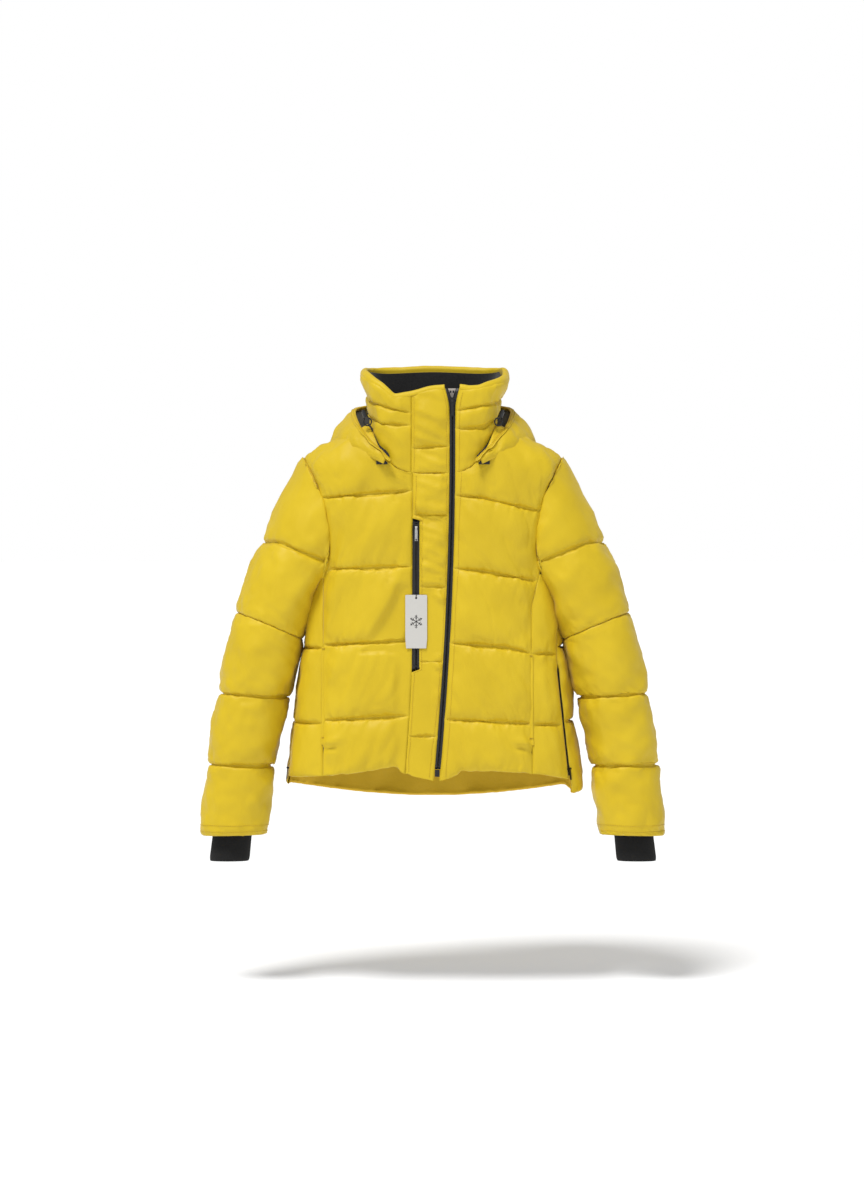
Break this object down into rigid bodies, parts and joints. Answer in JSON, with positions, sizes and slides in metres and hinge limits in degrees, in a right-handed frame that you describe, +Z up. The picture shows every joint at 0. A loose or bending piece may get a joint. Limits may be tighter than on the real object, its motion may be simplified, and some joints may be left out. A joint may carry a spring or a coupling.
{
  "type": "ski jacket",
  "caption": "Quilted hip-length ski jacket with stand collar, folded-down hood, offset front zip, chest and side vent zips, rib-knit cuffs and a swing tag.",
  "frame": {"origin": "point where a coat hanger carries the jacket: on the midline, level with the neck ends of the shoulder seams", "axes": "+Z up, +X towards the wearer's left, front of the jacket towards -Y"},
  "size_m": [0.746, 0.2719, 0.7963],
  "materials": {
    "outer_fabric": "plain-woven matte polyester shell fabric, mustard yellow",
    "padding": "soft white polyester wadding",
    "lining_fabric": "black brushed tricot",
    "zip_tape": "black water-resistant coated zip tape",
    "black_cord": "black braided elastic cord and string",
    "black_hardware": "black moulded plastic and lacquered metal",
    "silver_hardware": "satin silver zip puller",
    "white_card": "matte white card",
    "rib_knit": "black rib-knit elastane"
  },
  "bodies": {
    "root": {"right_front_shell": "outer_fabric", "right_side_shell": "outer_fabric", "left_front_shell": "outer_fabric", "left_side_shell": "outer_fabric", "placket_shell": "outer_fabric", "back_shell": "outer_fabric", "right_front_padding": "padding", "placket_padding": "padding", "left_front_padding": "padding", "back_padding": "padding", "front_lining": "lining_fabric", "back_lining": "lining_fabric", "pocket_bags": "lining_fabric", "storm_flap": "outer_fabric", "hang_loop": "black_cord", "collar_shell": "outer_fabric", "collar_padding": "padding", "collar_lining": "lining_fabric", "hood_right_wing": "outer_fabric", "hood_left_wing": "outer_fabric", "hood_wing_lining": "lining_fabric", "hood_tabs": "black_hardware", "hood_cord_loops": "black_cord", "cord_lock_barrels": "black_hardware", "main_zip_tapes": "zip_tape", "main_zip_coils": "zip_tape", "main_zip_end_fittings": "black_hardware", "chest_zip_tapes": "zip_tape", "chest_zip_stops": "black_hardware", "vent_zip_tapes": "zip_tape", "right_sleeve_cap": "outer_fabric", "left_sleeve_cap": "outer_fabric"},
    "main_zip_slider": {"main_zip_slider": "black_hardware"},
    "main_zip_pull": {"main_zip_pull": "black_hardware"},
    "chest_zip_slider": {"chest_zip_slider": "black_hardware"},
    "chest_zip_pull": {"chest_zip_pull": "silver_hardware"},
    "tag_string": {"tag_string": "black_cord"},
    "swing_tag": {"swing_tag": "white_card"},
    "right_vent_slider": {"right_vent_slider": "black_hardware"},
    "right_vent_pull": {"right_vent_pull": "black_hardware"},
    "left_vent_slider": {"left_vent_slider": "black_hardware"},
    "left_vent_pull": {"left_vent_pull": "black_hardware"},
    "hood": {"hood_pouch": "outer_fabric", "hood_pouch_lining": "lining_fabric"},
    "right_cord_lock_plunger": {"right_cord_lock_plunger": "black_hardware"},
    "left_cord_lock_plunger": {"left_cord_lock_plunger": "black_hardware"},
    "right_upper_arm": {"right_upper_sleeve": "outer_fabric", "right_upper_lining": "lining_fabric", "right_elbow_baffle": "outer_fabric"},
    "right_forearm": {"right_lower_sleeve": "outer_fabric", "right_lower_lining": "lining_fabric", "right_wrist_rib": "rib_knit"},
    "left_upper_arm": {"left_upper_sleeve": "outer_fabric", "left_upper_lining": "lining_fabric", "left_elbow_baffle": "outer_fabric"},
    "left_forearm": {"left_lower_sleeve": "outer_fabric", "left_lower_lining": "lining_fabric", "left_wrist_rib": "rib_knit"}
  },
  "joints": [
    {"name": "main_zip", "type": "hinge", "parent": "root", "child": "main_zip_slider", "pos_m": [-5.5988, -0.092, -0.0447], "axis": [0, 1, 0], "range_deg": [0, 5.89]},
    {"name": "main_pull_swing", "type": "hinge", "parent": "main_zip_slider", "child": "main_zip_pull", "pos_m": [0.0307, -0.0952, 0.03], "axis": [-0.9999, 0, -0.0133], "range_deg": [0, 150]},
    {"name": "chest_zip", "type": "slide", "parent": "root", "child": "chest_zip_slider", "axis": [0, 0, -1], "range_m": [0, 0.21]},
    {"name": "chest_pull_swing", "type": "hinge", "parent": "chest_zip_slider", "child": "chest_zip_pull", "pos_m": [-0.027, -0.0952, -0.173], "axis": [-1, 0, 0], "range_deg": [0, 120]},
    {"name": "tag_string_turn", "type": "hinge", "parent": "chest_zip_pull", "child": "tag_string", "pos_m": [-0.027, -0.0952, -0.1945], "axis": [-1, 0, 0], "range_deg": [-120, 0]},
    {"name": "tag_swing", "type": "hinge", "parent": "tag_string", "child": "swing_tag", "pos_m": [-0.027, -0.0952, -0.2865], "axis": [0, 1, 0], "range_deg": [-30, 30]},
    {"name": "right_vent_zip", "type": "slide", "parent": "root", "child": "right_vent_slider", "axis": [0.1145, -0.0007, 0.9934], "range_m": [0, 0.15]},
    {"name": "right_vent_pull_swing", "type": "hinge", "parent": "right_vent_slider", "child": "right_vent_pull", "pos_m": [-0.23512, -0.01419, -0.56275], "axis": [-0.0885, 0.996, 0.0109], "range_deg": [0, 120]},
    {"name": "left_vent_zip", "type": "slide", "parent": "root", "child": "left_vent_slider", "axis": [-0.1077, -0.0024, 0.9942], "range_m": [0, 0.15]},
    {"name": "left_vent_pull_swing", "type": "hinge", "parent": "left_vent_slider", "child": "left_vent_pull", "pos_m": [0.22065, -0.05052, -0.56282], "axis": [-0.6395, -0.7655, -0.0712], "range_deg": [0, 120]},
    {"name": "right_shoulder", "type": "hinge", "parent": "root", "child": "right_upper_arm", "pos_m": [-0.212, 0, -0.11], "axis": [0, 1, 0], "range_deg": [0, 45], "deforming": ["right_sleeve_cap"]},
    {"name": "right_elbow", "type": "hinge", "parent": "right_upper_arm", "child": "right_forearm", "pos_m": [-0.276, -0.026, -0.378], "axis": [-0.97, 0, 0.243], "range_deg": [0, 80], "deforming": ["right_elbow_baffle"]},
    {"name": "left_shoulder", "type": "hinge", "parent": "root", "child": "left_upper_arm", "pos_m": [0.212, 0, -0.11], "axis": [0, -1, 0], "range_deg": [0, 45], "deforming": ["left_sleeve_cap"]},
    {"name": "left_elbow", "type": "hinge", "parent": "left_upper_arm", "child": "left_forearm", "pos_m": [0.276, -0.026, -0.378], "axis": [-0.97, 0, -0.243], "range_deg": [0, 80], "deforming": ["left_elbow_baffle"]},
    {"name": "hood_lift", "type": "hinge", "parent": "root", "child": "hood", "pos_m": [0, 0.095, -0.005], "axis": [1, 0, 0], "range_deg": [0, 40]},
    {"name": "right_cord_lock", "type": "slide", "parent": "root", "child": "right_cord_lock_plunger", "axis": [0.342, 0, -0.9397], "range_m": [0, 0.003], "stiffness_N_per_m": 200},
    {"name": "left_cord_lock", "type": "slide", "parent": "root", "child": "left_cord_lock_plunger", "axis": [-0.342, 0, -0.9397], "range_m": [0, 0.003], "stiffness_N_per_m": 200}
  ],
  "couplings": [
    {"joint": "tag_string_turn", "follows": "chest_pull_swing", "ratio": -1}
  ]
}
